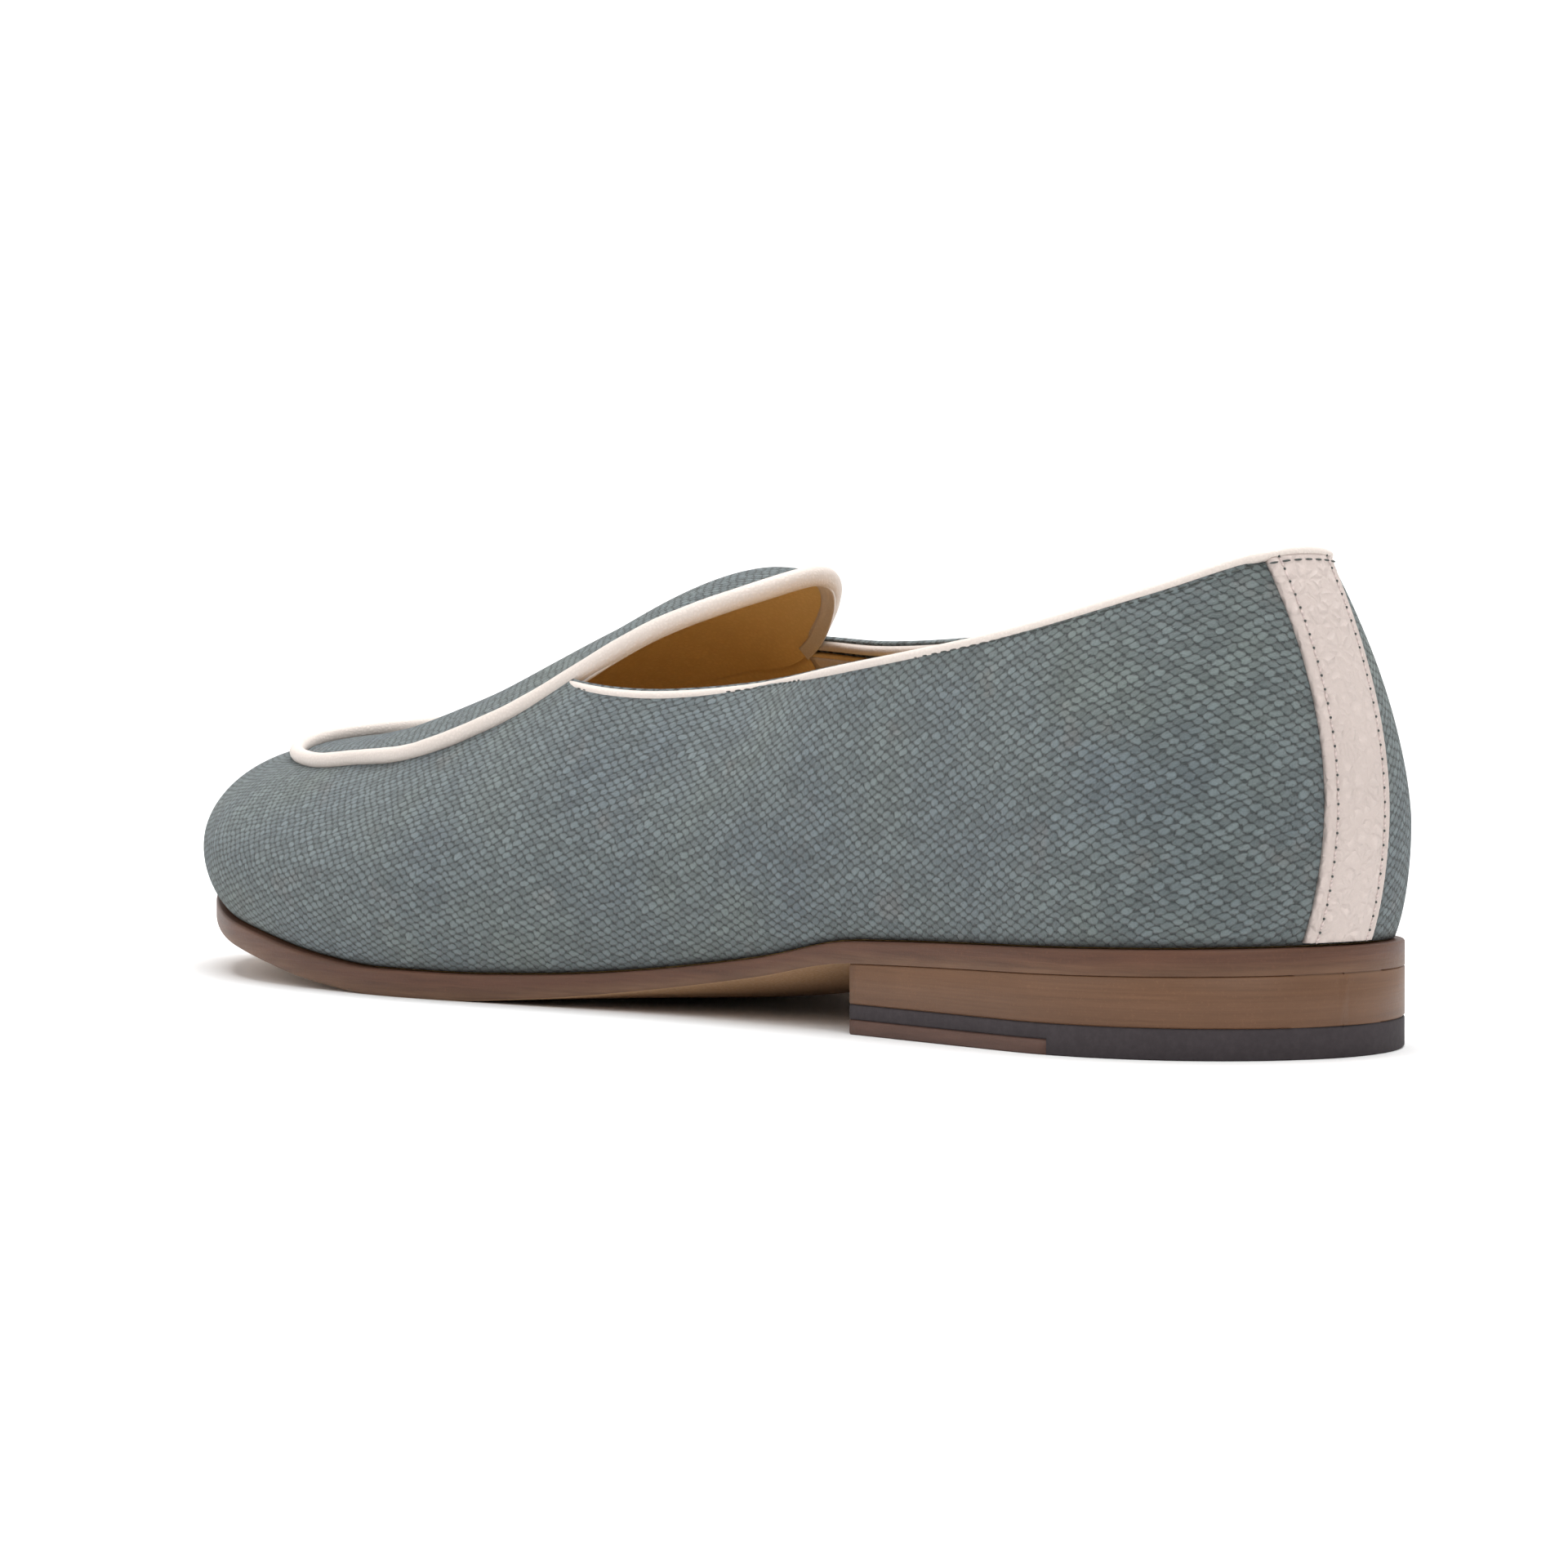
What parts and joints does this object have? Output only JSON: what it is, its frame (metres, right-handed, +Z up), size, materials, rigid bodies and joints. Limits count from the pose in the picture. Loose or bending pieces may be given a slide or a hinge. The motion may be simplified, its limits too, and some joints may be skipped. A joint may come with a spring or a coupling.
{
  "type": "belgian loafer",
  "caption": "Left Belgian loafer in woven cloth with leather piping round apron and collar, a back strip, a leather sole and a low stacked heel.",
  "frame": {"origin": "on the floor, at the middle of the shoe's length and width", "axes": "+Z up, -Y towards the toe, +Y towards the heel, +X towards the outer side of the left foot"},
  "size_m": [0.1038, 0.2962, 0.0769],
  "materials": {
    "cloth": "coarse woven cloth, grey teal, matte",
    "piping": "blush off-white leather, soft sheen",
    "strip": "blush off-white pebbled leather",
    "lining": "golden tan lining leather, smooth",
    "sole": "red-brown sole leather, burnished edge",
    "stack": "layered heel leather, satin",
    "rubber": "dark rubber, matte"
  },
  "bodies": {
    "root": {"upper": "cloth", "apron_piping": "piping", "collar_piping": "piping", "back_strip": "strip", "insole": "lining", "outsole": "sole", "heel_stack": "stack", "top_piece": "rubber", "top_piece_insert": "sole"}
  },
  "joints": []
}
